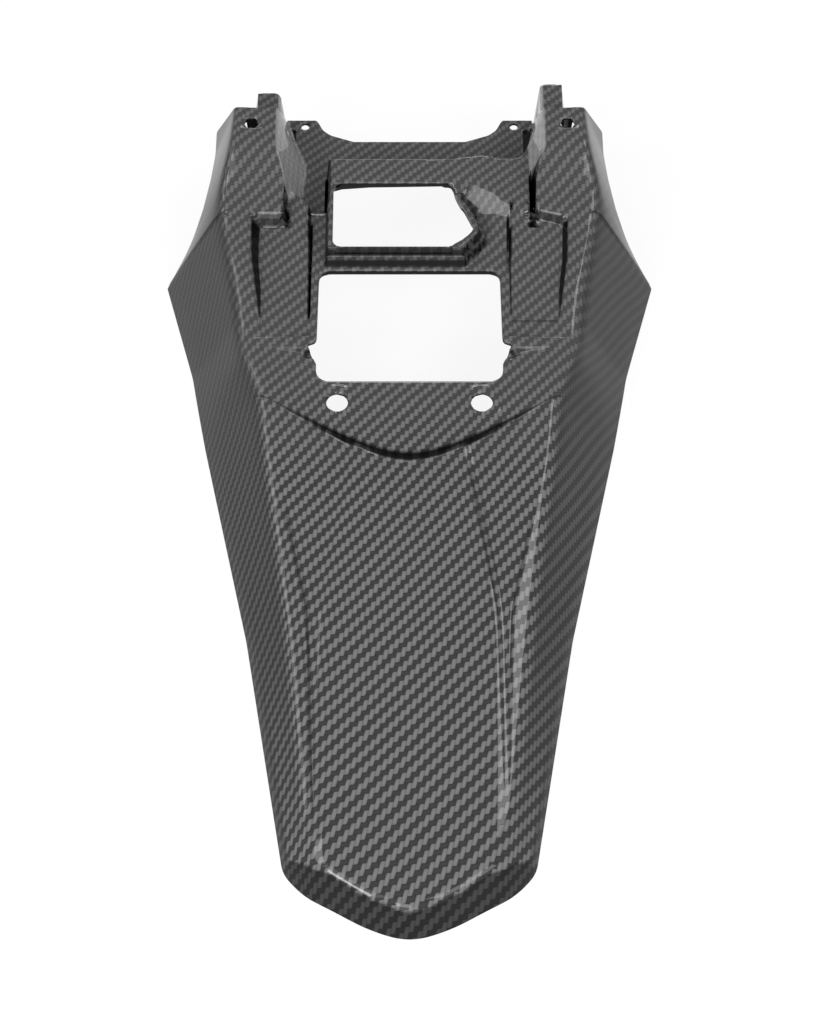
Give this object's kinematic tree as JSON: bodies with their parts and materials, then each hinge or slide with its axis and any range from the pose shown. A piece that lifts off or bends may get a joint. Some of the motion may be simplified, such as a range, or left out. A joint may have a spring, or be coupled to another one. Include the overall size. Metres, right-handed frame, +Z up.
{
  "type": "motorcycle rear fender",
  "caption": "One-piece moulded rear fender with a stepped tail, two windows, a raised platform, side panels and front uprights with mounting holes.",
  "frame": {"origin": "middle of the fender's box, on the surface it rests on", "axes": "+Y towards the front of the motorcycle, +X to its right seen from behind, +Z up"},
  "size_m": [0.2504, 0.432, 0.08],
  "materials": {
    "woven_skin": "dark grey twill weave under a clear glossy coat"
  },
  "bodies": {
    "root": {"rear_fender": "woven_skin"}
  },
  "joints": []
}
